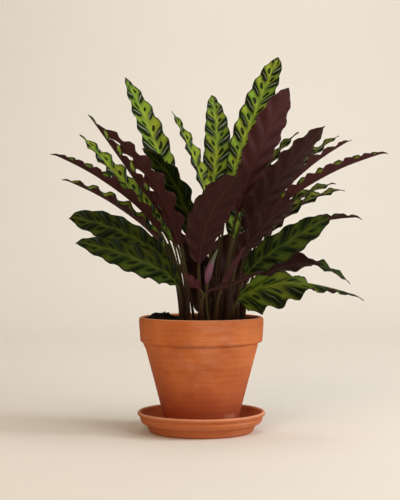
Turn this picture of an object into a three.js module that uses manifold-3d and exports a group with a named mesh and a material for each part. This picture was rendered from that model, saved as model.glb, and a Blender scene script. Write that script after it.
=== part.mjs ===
// A rattlesnake plant in a terracotta pot on its saucer.
// Millimetres, +Z up, the origin at the middle of the saucer's underside, and -Y towards the viewer.
import * as THREE from "three";
import { mergeVertices } from "three/addons/utils/BufferGeometryUtils.js";
import Module from "manifold-3d";

const wasm = await Module();
wasm.setup();

// Saucer
const SAUCER_HEIGHT = 26;
const SAUCER_RADIUS = 79.8;
const SAUCER_FOOT_RADIUS = 64;
const SAUCER_FLOOR = 7;
const SAUCER_STEP_RADIUS = 68.5;
const SAUCER_STEP_HEIGHT = 9.5;

// Pot
const POT_TOP = 143;
const POT_BASE = SAUCER_FLOOR;
const POT_FLOOR = POT_BASE + 8;
const RIM_RADIUS = 77.5;
const RIM_BOTTOM = 112;
const FOOT_RADIUS = 44.3;
const BODY_TOP_RADIUS = 71;
const INNER_TOP_RADIUS = 70.5;
const INNER_FLOOR_RADIUS = 38.5;
const INNER_TOP = POT_TOP - 5;
const DRAIN_RADIUS = 9;
const ROUND_SIDES = 44;

// Soil
const SOIL_LEVEL = 131;
const SOIL_GAP = 0.5;
const HEAP = { x: -44, y: 40, height: 12, spread: 17, atWall: 6 };

// Stalks, which end in a swollen joint below the blade
const STALK_DEPTH = 18;
const HOLE_GAP = 0.45;
const BASE_RADIUS = 1.9;
const STALK_RADIUS = 1.35;
const JOINT_RADIUS = 1.85;
const JOINT_LENGTH = 11;
const JOINT_WIDEST = 0.55;
const STALK_STEPS = 3;

// Blades: the waves are a share of the half width, and both they and the steps along the midrib are
// drawn out a little near the neck
const BLADE_HALF_THICKNESS = 0.5;
const RIB_DEPTH = 1.15;
const RIB_FADE = 0.8;
const TIP_HALF_WIDTH = 0.5;
const WAVE_SHARE = 0.19;
const WAVE_POWER = 0.6;
const SCALLOP_SHARE = 0.05;
const STEPS_A_WAVE = 4;
const NECK_STRETCH = 0.14;

// Each leaf: the spot where its stalk leaves the soil, then the neck, belly and tip of its midrib.
// face is the way its green side looks, width its greatest breadth, shape the powers of its outline,
// and fold the angle its halves rise by. twist gives the shares of its length between which it turns
// about its midrib, and the angle. waves is how many run along an edge, ripple their height against
// the usual one, and start the quarter wave that its two edges begin with.
const LEAVES = [
  { name: "leaf_left_tall", root: [-8, 10], neck: [-37, 24, 288], belly: [-66, 66, 380],
    tip: [-100, 92, 452], face: [0.35, -0.9, 0.25], width: 36, shape: [0.55, 0.62], fold: 0.15,
    twist: [0, 1, 0.2], waves: 7, ripple: 1, start: [0, 1] },
  { name: "leaf_left_shadow", root: [-2, 2], neck: [-11, 0, 257], belly: [-40, 6, 320],
    tip: [-74, 12, 354], face: [-0.5, -0.75, -0.45], width: 40, shape: [0.5, 0.8], fold: 0.2,
    twist: [0, 1, 0], waves: 5, ripple: 0.8, start: [1, 3] },
  { name: "leaf_left_maroon", root: [-14, -14], neck: [-31, -20, 244], belly: [-70, -45, 325],
    tip: [-120, -55, 375], face: [0.72, 0.5, 0.45], width: 37, shape: [0.5, 0.85], fold: 0.2,
    twist: [0, 1, 0], waves: 7, ripple: 1, start: [0, 2] },
  { name: "leaf_left_narrow", root: [-17, 2], neck: [-33, 4, 238], belly: [-91, 6, 325],
    tip: [-141, 6, 395], face: [0.8, -0.1, 0.55], width: 30, shape: [0.5, 0.85], fold: 0.6,
    twist: [0, 1, 0], waves: 7, ripple: 1, start: [1, 2] },
  { name: "leaf_left_green", root: [-20, 12], neck: [-46, 20, 248], belly: [-111, 50, 325],
    tip: [-157, 60, 375], face: [0.55, -0.6, 0.6], width: 34, shape: [0.5, 0.85], fold: 0.25,
    twist: [0, 1, 0], waves: 7, ripple: 1, start: [3, 1] },
  { name: "leaf_left_far", root: [-24, -5], neck: [-51, -18, 248], belly: [-123, -35, 313],
    tip: [-183, -35, 344], face: [0.4, -0.05, 0.9], width: 24, shape: [0.5, 0.85], fold: 0.95,
    twist: [0, 1, 0], waves: 7, ripple: 1, start: [0, 2] },
  { name: "leaf_left_far_low", root: [-25, 4], neck: [-46, 3, 226], belly: [-110, 22, 283],
    tip: [-176, 25, 316], face: [0.3, -0.2, 0.9], width: 27, shape: [0.5, 0.85], fold: 0.75,
    twist: [0, 1, 0], waves: 7, ripple: 1, start: [2, 1] },
  { name: "leaf_left_low_back", root: [-24, -16], neck: [-38, -20, 206], belly: [-101, -35, 250],
    tip: [-162, -25, 267], face: [-0.1, -0.95, -0.15], width: 34, shape: [0.75, 0.6], fold: 0.15,
    twist: [0, 1, 0], waves: 6, ripple: 1, start: [0, 3] },
  { name: "leaf_left_low_front", root: [-24, -24], neck: [-29, -38, 183], belly: [-91, -70, 221],
    tip: [-149, -75, 237], face: [-0.1, -0.95, -0.15], width: 36, shape: [0.5, 0.7], fold: 0.15,
    twist: [0, 1, 0], waves: 6, ripple: 1, start: [1, 0] },
  { name: "leaf_centre_narrow", root: [2, 17], neck: [8, 20, 282], belly: [-15, 55, 356],
    tip: [-38, 65, 405], face: [0.75, -0.5, 0.3], width: 30, shape: [0.5, 0.85], fold: 0.3,
    twist: [0, 1, 0], waves: 6, ripple: 1, start: [2, 0] },
  { name: "leaf_centre_green", root: [8, 26], neck: [14, 45, 289], belly: [21, 92, 376],
    tip: [14, 150, 436], face: [0.05, -0.9, 0.4], width: 34, shape: [0.5, 0.7], fold: 0.15,
    twist: [0, 1, 0], waves: 7, ripple: 1, start: [0, 2] },
  { name: "leaf_right_tall", root: [18, 20], neck: [39, 35, 314], belly: [74, 80, 414],
    tip: [103, 110, 481], face: [-0.3, -0.9, 0.2], width: 36, shape: [0.5, 0.5], fold: 0.15,
    twist: [0, 1, 0], waves: 8, ripple: 1, start: [1, 3] },
  { name: "leaf_centre_low", root: [14, 33], neck: [30, 55, 285], belly: [44, 90, 340],
    tip: [46, 120, 378], face: [0, -0.8, 0.5], width: 22, shape: [0.5, 0.85], fold: 0.2,
    twist: [0, 1, 0], waves: 4, ripple: 1, start: [0, 1] },
  { name: "leaf_right_maroon", root: [22, 3], neck: [44, -10, 269], belly: [80, -18, 367],
    tip: [107, -20, 425], face: [-0.3, 0.9, 0.2], width: 44, shape: [0.75, 0.5], fold: 0.15,
    twist: [0, 1, 0], waves: 7, ripple: 0.6, start: [3, 1] },
  { name: "leaf_front_broad", root: [0, -32], neck: [2, -45, 216], belly: [13, -85, 269],
    tip: [41, -120, 312], face: [-0.25, 0.85, 0.45], width: 47, shape: [0.65, 0.5], fold: 0.1,
    twist: [0, 1, 0], waves: 6, ripple: 0.4, start: [0, 2] },
  { name: "leaf_right_brown", root: [32, -6], neck: [54, -18, 248], belly: [108, -36, 329],
    tip: [150, -38, 377], face: [-0.5, 0.8, 0.3], width: 42, shape: [0.5, 0.7], fold: 0.2,
    twist: [0, 1, 0], waves: 7, ripple: 0.7, start: [2, 0] },
  { name: "leaf_right_edge", root: [27, 12], neck: [50, 14, 257], belly: [90, 32, 341],
    tip: [124, 36, 376], face: [-0.6, -0.45, 0.65], width: 30, shape: [0.5, 0.85], fold: 0.2,
    twist: [0, 1, 0], waves: 6, ripple: 1, start: [1, 3] },
  { name: "leaf_right_upper", root: [34, 14], neck: [59, 19, 253], belly: [126, 43, 334],
    tip: [177, 50, 373], face: [-0.6, -0.4, 0.7], width: 34, shape: [0.5, 0.85], fold: 0.25,
    twist: [0, 1, 0], waves: 7, ripple: 1, start: [0, 1] },
  { name: "leaf_right_slim", root: [39, 4], neck: [70, 2, 257], belly: [136, 8, 330],
    tip: [189, 15, 365], face: [-0.5, -0.02, 0.85], width: 23, shape: [0.5, 0.85], fold: 0.95,
    twist: [0, 1, 0], waves: 7, ripple: 1, start: [3, 0] },
  { name: "leaf_right_far", root: [42, -12], neck: [81, -35, 265], belly: [154, -60, 318],
    tip: [223, -60, 344], face: [-0.42, -0.02, 0.9], width: 24, shape: [0.5, 0.85], fold: 0.95,
    twist: [0, 1, 0], waves: 7, ripple: 1, start: [0, 2] },
  { name: "leaf_right_wave_upper", root: [38, 22], neck: [77, 25, 244], belly: [133, 50, 296],
    tip: [173, 50, 312], face: [-0.4, -0.4, 0.8], width: 28, shape: [0.5, 0.85], fold: 0.25,
    twist: [0, 1, 0], waves: 5, ripple: 1, start: [1, 2] },
  { name: "leaf_right_wave_lower", root: [46, 6], neck: [78, 0, 238], belly: [129, 0, 285],
    tip: [179, 5, 302], face: [-0.4, -0.35, 0.85], width: 30, shape: [0.5, 0.85], fold: 0.25,
    twist: [0, 1, 0], waves: 5, ripple: 1, start: [0, 3] },
  { name: "leaf_right_inner", root: [32, -18], neck: [45, -34, 213], belly: [78, -52, 258],
    tip: [113, -55, 287], face: [-0.4, 0.8, 0.45], width: 34, shape: [0.6, 0.6], fold: 0.2,
    twist: [0, 1, 0], waves: 5, ripple: 1, start: [2, 0] },
  { name: "leaf_right_green", root: [42, -24], neck: [54, -45, 196], belly: [107, -71, 239],
    tip: [153, -75, 266], face: [0.1, -0.95, -0.15], width: 36, shape: [0.5, 0.6], fold: 0.15,
    twist: [0, 1, 0], waves: 5, ripple: 1, start: [0, 1] },
  { name: "leaf_right_behind", root: [49, -4], neck: [79, -5, 219], belly: [146, 5, 260],
    tip: [201, 10, 267], face: [-0.05, 0.0, 1], width: 20, shape: [0.5, 0.85], fold: 0.95,
    twist: [0, 1, 0], waves: 6, ripple: 1, start: [3, 2] },
  { name: "leaf_right_fold", root: [48, -15], neck: [70, -24, 190], belly: [126, -30, 210],
    tip: [181, -35, 187], face: [0, 0.8, 0.5], width: 26, shape: [0.5, 0.85], fold: 0.3,
    twist: [0.45, 0.7, 1.5], waves: 5, ripple: 1, start: [0, 1] },
  { name: "leaf_right_low", root: [35, -36], neck: [44, -62, 166], belly: [108, -96, 188],
    tip: [188, -108, 171], face: [0.1, -0.75, 0.62], width: 58, shape: [0.45, 1.4], fold: -0.4,
    twist: [0.4, 0.7, -0.85], waves: 6, ripple: 0.8, start: [1, 3] },
  { name: "leaf_young_right", root: [16, -36], neck: [24, -52, 178], belly: [38, -60, 205],
    tip: [53, -66, 232], face: [-0.3, 0.8, 0.5], width: 16, shape: [0.5, 0.85], fold: 0.3,
    twist: [0, 1, 0], waves: 3, ripple: 1, start: [0, 2] },
  { name: "leaf_young_left", root: [-12, -34], neck: [-1, -52, 178], belly: [-11, -56, 187],
    tip: [-21, -60, 199], face: [0.3, 0.8, 0.5], width: 15, shape: [0.5, 0.85], fold: 0.3,
    twist: [0, 1, 0], waves: 3, ripple: 1, start: [1, 3] },
  { name: "leaf_low_band", root: [3, -47], neck: [6, -68, 175], belly: [36, -78, 185],
    tip: [71, -86, 202], face: [0, 0.8, 0.6], width: 12, shape: [0.5, 0.6], fold: 0.4,
    twist: [0, 1, 0], waves: 3, ripple: 1, start: [0, 1] },
  { name: "leaf_back_dark", root: [9, 50], neck: [9, 66, 146], belly: [4, 100, 192],
    tip: [-6, 122, 232], face: [0, 0.9, 0.4], width: 36, shape: [0.4, 0.55], fold: 0.15,
    twist: [0, 1, 0], waves: 3, ripple: 1, start: [2, 0] },
  { name: "leaf_back_left", root: [-16, 26], neck: [-36, 50, 235], belly: [-54, 110, 272],
    tip: [-62, 172, 240], face: [0.1, -0.5, 0.8], width: 36, shape: [0.5, 0.85], fold: 0.2,
    twist: [0, 1, 0], waves: 4, ripple: 1, start: [0, 2] },
  { name: "leaf_back_low", root: [-20, 24], neck: [-36, 46, 200], belly: [-76, 98, 230],
    tip: [-112, 140, 205], face: [0, -0.5, 0.8], width: 34, shape: [0.5, 0.85], fold: 0.2,
    twist: [0, 1, 0], waves: 4, ripple: 1, start: [3, 1] },
  { name: "leaf_back_middle", root: [0, 38], neck: [-5, 62, 245], belly: [-8, 125, 285],
    tip: [-12, 198, 262], face: [0, -0.4, 0.9], width: 38, shape: [0.5, 0.85], fold: 0.2,
    twist: [0, 1, 0], waves: 4, ripple: 1, start: [1, 0] },
  { name: "leaf_back_upright", root: [22, 46], neck: [26, 58, 146], belly: [34, 84, 196],
    tip: [40, 98, 236], face: [0, 0.9, 0.4], width: 46, shape: [0.4, 0.55], fold: 0.15,
    twist: [0, 1, 0], waves: 3, ripple: 1, start: [0, 2] },
  { name: "leaf_back_right", root: [26, 34], neck: [42, 58, 240], belly: [60, 118, 278],
    tip: [74, 180, 250], face: [-0.1, -0.4, 0.9], width: 36, shape: [0.5, 0.85], fold: 0.2,
    twist: [0, 1, 0], waves: 4, ripple: 1, start: [2, 3] },
  { name: "leaf_back_low_right", root: [34, 38], neck: [62, 52, 190], belly: [88, 102, 222],
    tip: [112, 152, 208], face: [-0.1, -0.5, 0.8], width: 34, shape: [0.5, 0.85], fold: 0.2,
    twist: [0, 1, 0], waves: 4, ripple: 1, start: [0, 1] },
];

// The newest leaf is still a rolled spear: its stalk, then the radius of the roll at even steps.
const SPEAR = { name: "leaf_rolled", root: [9, -40], neck: [7, -56, 188], belly: [10, -64, 203],
  tip: [19, -77, 227], face: [0, -1, 0], rollRadii: [2.2, 4.2, 4.9, 4.2, 2.7, 2.2, 0.8] };

const terracotta = new THREE.MeshStandardMaterial({ color: 0xb9602f, roughness: 0.85, metalness: 0 });
const darkTerracotta = new THREE.MeshStandardMaterial({ color: 0xa8562b, roughness: 0.88, metalness: 0 });
const soilBrown = new THREE.MeshStandardMaterial({ color: 0x1d130c, roughness: 1, metalness: 0 });
const leafGreen = new THREE.MeshStandardMaterial({ color: 0x5d7a1e, roughness: 0.4, metalness: 0 });
const spearPink = new THREE.MeshStandardMaterial({ color: 0x8a4a62, roughness: 0.5, metalness: 0 });

function turned(profile) {
  const points = profile.map(([radius, height]) => new THREE.Vector2(radius, height));
  return new THREE.LatheGeometry(points, ROUND_SIDES).rotateX(Math.PI / 2);
}

function solidOf(geometry) {
  const bare = new THREE.BufferGeometry();
  bare.setAttribute("position", geometry.getAttribute("position"));
  bare.setIndex(geometry.index);
  const merged = mergeVertices(bare, 1e-3);
  return new wasm.Manifold(new wasm.Mesh({
    numProp: 3,
    vertProperties: merged.attributes.position.array,
    triVerts: new Uint32Array(merged.index.array),
  }));
}

function geometryOf(solid) {
  const mesh = solid.getMesh();
  const geometry = new THREE.BufferGeometry();
  geometry.setAttribute("position", new THREE.BufferAttribute(new Float32Array(mesh.vertProperties), 3));
  geometry.setIndex(new THREE.BufferAttribute(new Uint32Array(mesh.triVerts), 1));
  geometry.computeVertexNormals();
  return geometry;
}

function named(name, geometry, material) {
  const mesh = new THREE.Mesh(geometry, material);
  mesh.name = name;
  return mesh;
}

// The saucer: a flat foot, a sloped wall, and a rolled lip that stands out from it.
function saucerGeometry() {
  return turned([
    [0, 0], [SAUCER_FOOT_RADIUS - 2, 0], [SAUCER_FOOT_RADIUS, 1.2],
    [SAUCER_STEP_RADIUS, SAUCER_STEP_HEIGHT], [74, 12],
    [76.4, 16.5], [75.9, 18.6], [SAUCER_RADIUS, 22.5], [79.2, SAUCER_HEIGHT - 0.8],
    [77.4, SAUCER_HEIGHT], [75.4, SAUCER_HEIGHT - 1.2], [73.5, 20], [67, 9.2], [64, SAUCER_FLOOR],
    [0, SAUCER_FLOOR],
  ]);
}

// The pot: a tapered wall with a deep rim band and a drain hole through its floor.
function potGeometry() {
  return turned([
    [DRAIN_RADIUS, POT_BASE], [FOOT_RADIUS - 1.5, POT_BASE], [FOOT_RADIUS, POT_BASE + 1.5],
    [BODY_TOP_RADIUS, RIM_BOTTOM - 1.5], [RIM_RADIUS - 2.8, RIM_BOTTOM],
    [RIM_RADIUS - 1.6, RIM_BOTTOM + 1.8], [RIM_RADIUS, POT_TOP - 5],
    [RIM_RADIUS - 0.8, POT_TOP - 1.4], [RIM_RADIUS - 3, POT_TOP],
    [RIM_RADIUS - 5.4, POT_TOP - 1.2], [INNER_TOP_RADIUS, INNER_TOP],
    [INNER_FLOOR_RADIUS, POT_FLOOR], [DRAIN_RADIUS, POT_FLOOR], [DRAIN_RADIUS, POT_BASE],
  ]);
}

function innerRadius(z) {
  const share = (z - POT_FLOOR) / (INNER_TOP - POT_FLOOR);
  return INNER_FLOOR_RADIUS + share * (INNER_TOP_RADIUS - INNER_FLOOR_RADIUS);
}

// Height of the soil over its level: low clods everywhere, and a heap by the wall at the back left.
function clods(x, y) {
  const swell = 1.3 * Math.sin(0.21 * x + 1) * Math.cos(0.17 * y);
  const ripples = 0.9 * Math.sin(0.37 * x - 0.31 * y);
  const away = Math.hypot(x - HEAP.x, y - HEAP.y) / HEAP.spread;
  return swell + ripples + HEAP.height * Math.exp(-0.5 * away * away);
}

// The soil fills the pot; its top is raised by clods(), and each stalk stands in a plain hole.
function soilGeometry(holes) {
  const bottom = POT_FLOOR + 0.3;
  const edge = innerRadius(SOIL_LEVEL) - SOIL_GAP;
  const ringRadii = [edge, 58, 45, 31, 16, 0];
  const geometry = turned([
    [0, bottom], [innerRadius(bottom) - SOIL_GAP, bottom],
    ...ringRadii.map((radius) => [radius, SOIL_LEVEL]),
  ]);
  const place = geometry.getAttribute("position");
  for (let i = 0; i < place.count; i++) {
    if (place.getZ(i) < SOIL_LEVEL - 0.01) continue;
    const x = place.getX(i);
    const y = place.getY(i);
    const onEdge = Math.hypot(x, y) > edge - 0.01;
    const z = SOIL_LEVEL + Math.min(clods(x, y), onEdge ? HEAP.atWall : HEAP.height);
    const spread = onEdge ? (innerRadius(z) - SOIL_GAP) / edge : 1;
    place.setXYZ(i, x * spread, y * spread, z);
  }
  let soil = solidOf(geometry);
  for (const hole of holes) soil = soil.subtract(solidOf(hole));
  return geometryOf(soil);
}

// A smooth line through root, neck, belly and tip: cubic spans whose slopes at the inner points are
// weighted means of the chords beside them. Below the root it runs straight on into the soil.
function spineOf(leaf) {
  const places = [[...leaf.root, SOIL_LEVEL], leaf.neck, leaf.belly, leaf.tip];
  const points = places.map((p) => new THREE.Vector3(...p));
  const knots = [0];
  const slopes = [];
  for (let i = 1; i < points.length; i++) {
    const chord = points[i].clone().sub(points[i - 1]);
    knots.push(knots[i - 1] + chord.length());
    slopes.push(chord.normalize());
  }
  const inner = (i) => {
    const before = knots[i] - knots[i - 1];
    const after = knots[i + 1] - knots[i];
    return slopes[i - 1].clone().multiplyScalar(after).addScaledVector(slopes[i], before)
      .divideScalar(before + after);
  };
  const tangents = [null, inner(1), inner(2), null];
  tangents[0] = slopes[0].clone().multiplyScalar(1.5).addScaledVector(tangents[1], -0.5);
  tangents[3] = slopes[2].clone().multiplyScalar(1.5).addScaledVector(tangents[2], -0.5);
  return {
    neckAt: knots[1],
    tipAt: knots[3],
    at(t) {
      if (t < 0) return points[0].clone().addScaledVector(tangents[0], t);
      const i = t < knots[1] ? 0 : t < knots[2] ? 1 : 2;
      const span = knots[i + 1] - knots[i];
      const s = (t - knots[i]) / span;
      const place = points[i].clone().multiplyScalar((1 + 2 * s) * (1 - s) ** 2);
      place.addScaledVector(tangents[i], span * s * (1 - s) ** 2);
      place.addScaledVector(points[i + 1], s * s * (3 - 2 * s));
      return place.addScaledVector(tangents[i + 1], span * s * s * (s - 1));
    },
  };
}

// Across and up directions at a point of the spine; up is the leaf's face, turned by an angle.
function framing(spine, t, face, turn) {
  const step = 0.05;
  const along = spine.at(t + step).sub(spine.at(t - step)).normalize();
  const up = new THREE.Vector3(...face);
  up.addScaledVector(along, -up.dot(along)).normalize().applyAxisAngle(along, turn);
  return { up, across: new THREE.Vector3().crossVectors(along, up) };
}

// A ring is a list of [across, up] offsets, in order round the section.
function ringAt(spine, t, face, turn, offsets) {
  const { up, across } = framing(spine, t, face, turn);
  return offsets.map(([a, b]) => spine.at(t).addScaledVector(across, a).addScaledVector(up, b));
}

const HEXAGON = [150, 90, 30, -30, -90, -150].map((degrees) => {
  const angle = THREE.MathUtils.degToRad(degrees);
  return [Math.cos(angle), Math.sin(angle)];
});

const hexagon = (radius) => HEXAGON.map(([a, b]) => [radius * a, radius * b]);

// Stalk sections from inside the soil to just below the neck, where a swollen joint begins.
function stalkRings(leaf, spine) {
  const top = spine.neckAt - JOINT_LENGTH;
  const rings = [ringAt(spine, -STALK_DEPTH, leaf.face, 0, hexagon(BASE_RADIUS))];
  for (let i = 0; i <= STALK_STEPS; i++) {
    const share = i / STALK_STEPS;
    const radius = STALK_RADIUS + (BASE_RADIUS - STALK_RADIUS) * (1 - share) ** 2;
    rings.push(ringAt(spine, share * top, leaf.face, 0, hexagon(radius)));
  }
  const widestAt = spine.neckAt - JOINT_WIDEST * JOINT_LENGTH;
  rings.push(ringAt(spine, widestAt, leaf.face, 0, hexagon(JOINT_RADIUS)));
  return rings;
}

// Half width of a blade over its greatest, at a share u of the way from neck to tip: u^a (1 - u)^b,
// divided by its own greatest value, which lies at u = a / (a + b).
function outline(u, [a, b]) {
  const widest = a / (a + b);
  return (u / widest) ** a * ((1 - u) / (1 - widest)) ** b;
}

// Turn of a blade about its midrib: none below the first share of its length, all above the second.
const turnAt = (u, [from, to, angle]) => angle * THREE.MathUtils.smoothstep(u, from, to);

// Blade sections: two halves that rise from the midrib by the fold, edges that wave up and down and in
// and out, and a rib that stands out below. Both faces have like corners, so they never cross.
function bladeRings(leaf, spine) {
  const rings = [];
  const swing = (leaf.width / 2) * WAVE_SHARE * leaf.ripple;
  const steps = leaf.waves * STEPS_A_WAVE;
  for (let k = 0; k <= steps; k++) {
    const s = k / steps;
    const u = s + NECK_STRETCH * s * (1 - s);
    const share = outline(u, leaf.shape);
    const half = Math.max((leaf.width / 2) * share, k ? TIP_HALF_WIDTH : STALK_RADIUS);
    const [left, right] = leaf.start.map((quarter) => 2 * Math.PI * (leaf.waves * s + quarter / 4));
    const edge = (phase) => [
      half * (1 + SCALLOP_SHARE * Math.cos(phase)) * Math.cos(leaf.fold),
      half * Math.sin(leaf.fold) + swing * share ** WAVE_POWER * Math.sin(phase),
    ];
    const [leftOut, leftUp] = edge(left);
    const [rightOut, rightUp] = edge(right);
    const thick = BLADE_HALF_THICKNESS;
    const rib = thick + RIB_DEPTH * (1 - RIB_FADE * u);
    const t = spine.neckAt + u * (spine.tipAt - spine.neckAt);
    rings.push(ringAt(spine, t, leaf.face, turnAt(u, leaf.twist), [
      [-leftOut, leftUp + thick], [0, thick], [rightOut, rightUp + thick],
      [rightOut, rightUp - thick], [0, -rib], [-leftOut, leftUp - thick],
    ]));
  }
  return rings;
}

// Joins rings of six points into one closed skin. The quads of the lower face are split the same way
// as those of the upper face over them.
const DIAGONAL_FORWARD = [true, false, true, true, false, true];

function loft(rings) {
  const sides = rings[0].length;
  const corners = rings.flat().flatMap((p) => [p.x, p.y, p.z]);
  const faces = [];
  for (let i = 0; i + 1 < rings.length; i++) {
    for (let j = 0; j < sides; j++) {
      const a = i * sides + j;
      const b = i * sides + ((j + 1) % sides);
      const c = a + sides;
      const d = b + sides;
      if (DIAGONAL_FORWARD[j % 6]) faces.push(a, b, d, a, d, c);
      else faces.push(a, b, c, b, d, c);
    }
  }
  const last = (rings.length - 1) * sides;
  for (let j = 1; j + 1 < sides; j++) faces.push(0, j + 1, j, last, last + j, last + j + 1);
  const geometry = new THREE.BufferGeometry();
  geometry.setAttribute("position", new THREE.BufferAttribute(new Float32Array(corners), 3));
  geometry.setIndex(faces);
  geometry.computeVertexNormals();
  return geometry;
}

function leafGeometry(leaf) {
  const spine = spineOf(leaf);
  return loft([...stalkRings(leaf, spine), ...bladeRings(leaf, spine)]);
}

function spearGeometry() {
  const spine = spineOf(SPEAR);
  const step = (spine.tipAt - spine.neckAt) / (SPEAR.rollRadii.length - 1);
  const roll = SPEAR.rollRadii.map((radius, i) =>
    ringAt(spine, spine.neckAt + i * step, SPEAR.face, 0, hexagon(radius)));
  return loft([...stalkRings(SPEAR, spine), ...roll]);
}

// The hole round the part of a stalk that stands in the soil, open at the top.
function holeGeometry(leaf) {
  const spine = spineOf(leaf);
  const openTop = HEAP.height + 4;
  const section = hexagon(BASE_RADIUS + HOLE_GAP);
  const depths = [-STALK_DEPTH - HOLE_GAP, 0, openTop];
  return loft(depths.map((t) => ringAt(spine, t, leaf.face, 0, section)));
}

const plant = new THREE.Group();
plant.name = "potted_rattlesnake_plant";
plant.add(named("saucer", saucerGeometry(), darkTerracotta));
plant.add(named("pot", potGeometry(), terracotta));
plant.add(named("potting_soil", soilGeometry([...LEAVES, SPEAR].map(holeGeometry)), soilBrown));
for (const leaf of LEAVES) plant.add(named(leaf.name, leafGeometry(leaf), leafGreen));
plant.add(named(SPEAR.name, spearGeometry(), spearPink));

export default plant;
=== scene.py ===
# A rattlesnake plant in a terracotta pot on its saucer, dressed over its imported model.
from collections import namedtuple
import math

import bpy
import numpy as np
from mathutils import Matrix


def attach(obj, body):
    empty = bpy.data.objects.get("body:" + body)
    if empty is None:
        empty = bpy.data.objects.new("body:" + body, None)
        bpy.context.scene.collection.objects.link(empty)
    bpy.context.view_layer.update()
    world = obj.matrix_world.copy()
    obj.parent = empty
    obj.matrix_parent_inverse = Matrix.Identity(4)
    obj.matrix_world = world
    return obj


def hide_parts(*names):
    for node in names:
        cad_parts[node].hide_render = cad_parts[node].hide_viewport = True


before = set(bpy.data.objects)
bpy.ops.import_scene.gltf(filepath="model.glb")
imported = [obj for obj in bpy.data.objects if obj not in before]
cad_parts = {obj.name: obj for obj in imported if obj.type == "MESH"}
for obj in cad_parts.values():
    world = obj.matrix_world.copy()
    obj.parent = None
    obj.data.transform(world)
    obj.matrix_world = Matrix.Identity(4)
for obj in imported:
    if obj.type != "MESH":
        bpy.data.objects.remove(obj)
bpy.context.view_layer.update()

MM = 0.001
SEED = 11

# Camera, level with the lower leaves and aimed a little down
VIEW_DISTANCE = 1.55
VIEW_HEIGHT = 0.2407
VIEW_SIDE = -0.0016
VIEW_DOWN = math.radians(0.56)
FOCAL_LENGTH_MM = 89.8
SENSOR_MM = 36

# Turned clay, in millimetres. A turned line is its height, depth and half breadth.
CLAY_COLUMNS = 288
CLAY_SHARP_DEGREES = 35
POT_FLOOR = 15
INNER_TOP = 138
INNER_TOP_RADIUS = 70.5
INNER_FLOOR_RADIUS = 38.5
RIM_LINES = ((137.0, 0.45, 0.8), (123.5, 0.3, 0.9), (116.4, 0.4, 1.0), (109.6, 1.0, 0.9))
SAUCER_LINES = ((21.0, 0.35, 0.5), (14.2, 0.3, 0.6))
SMEAR_FROM = math.radians(-125)
SMEAR_TO = math.radians(-50)
SMEAR_FADE = math.radians(9)
SMEAR_HEIGHTS = (98, 115)
SMEAR_TOP = 116
SMEAR_RADIUS = 75.2
SMEAR_SLOPE = 0.5

# Soil, in millimetres. Each size of lumps is a height and a breadth.
SOIL_LEVEL = 131
SOIL_GAP = 0.5
SOIL_LIFT = 0.3
SOIL_COLUMNS = 300
SOIL_SIDE_RINGS = 10
SOIL_TOP_RINGS = 64
HEAP = (-54, 24)
HEAP_HEIGHT = 14
HEAP_SPREAD = 24
HEAP_AT_WALL = 10.5
LUMPS = ((1.1, 6), (0.7, 2.6), (0.35, 1.2))
LUMP_SHARE = 0.8
CRUMBS = 520
CHIPS = 90
CRUMB_REACH = 64
CRUMB_RINGS = 5
CRUMB_COLUMNS = 7

# Stalks and blades, in millimetres. A stalk's sheath spreads its foot, fully where its root is to the
# right of SHEATH_FULL, and not at all to the left of SHEATH_FROM.
STALK_DEPTH = 18
BASE_RADIUS = 1.9
STALK_RADIUS = 1.35
JOINT_RADIUS = 1.85
JOINT_LENGTH = 11
JOINT_WIDEST = 0.55
JOINT_SPREAD = 4
SHEATH_HEIGHT = 46
SHEATH_SPREAD = 1.7
SHEATH_FROM = -6
SHEATH_FULL = 6
EDGE_HALF_THICKNESS = 0.2
BLADE_HALF_THICKNESS = 0.32
RIB_DEPTH = 1.0
RIB_FADE = 0.8
RIB_HALF_WIDTH = 1.0
CHANNEL_DEPTH = 0.35
CHANNEL_HALF_WIDTH = 0.9
FOLD_ROUNDING = 0.003
FLAT_FROM = -1
FLAT_FULL = 7
EDGE_GAP = 0.05
TIP_HALF_WIDTH = 0.35
WAVE_SHARE = 0.25
WAVE_POWER = 0.6
WAVE_GROWTH = 1.2
SCALLOP_SHARE = 0.05
FRILL_SHARE = 0.16
FRILL_GROWTH = 5
FRILL_PACE = 2.6
TIP_DROP = 4.0
TIP_DROP_FROM = 0.93
POINT_FROM = 0.95
POINT_SHARE = 0.55
NECK_STRETCH = 0.14
VEIN_SLANT = 1.1
RINGS_A_WAVE = 20
STALK_RINGS = 26
BLADE_COLUMNS = 25
UPPER, UNDER, STALK = 0, 1, 2

# A blade's colour takes full painted shade where its belly is below the first height, and the painted
# shade fades out up to the second. The painted shade that chance gives is at most RANDOM_SHADE.
SHADE_HEIGHTS = (245, 300)
RANDOM_SHADE = 0.2

Leaf = namedtuple("Leaf", "name root neck belly tip face width fold waves start "
                  "shape twist ripple dark olive mauve", defaults=((0.5, 0.85), (0, 1, 0), 1, None, 0, 0))
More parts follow.
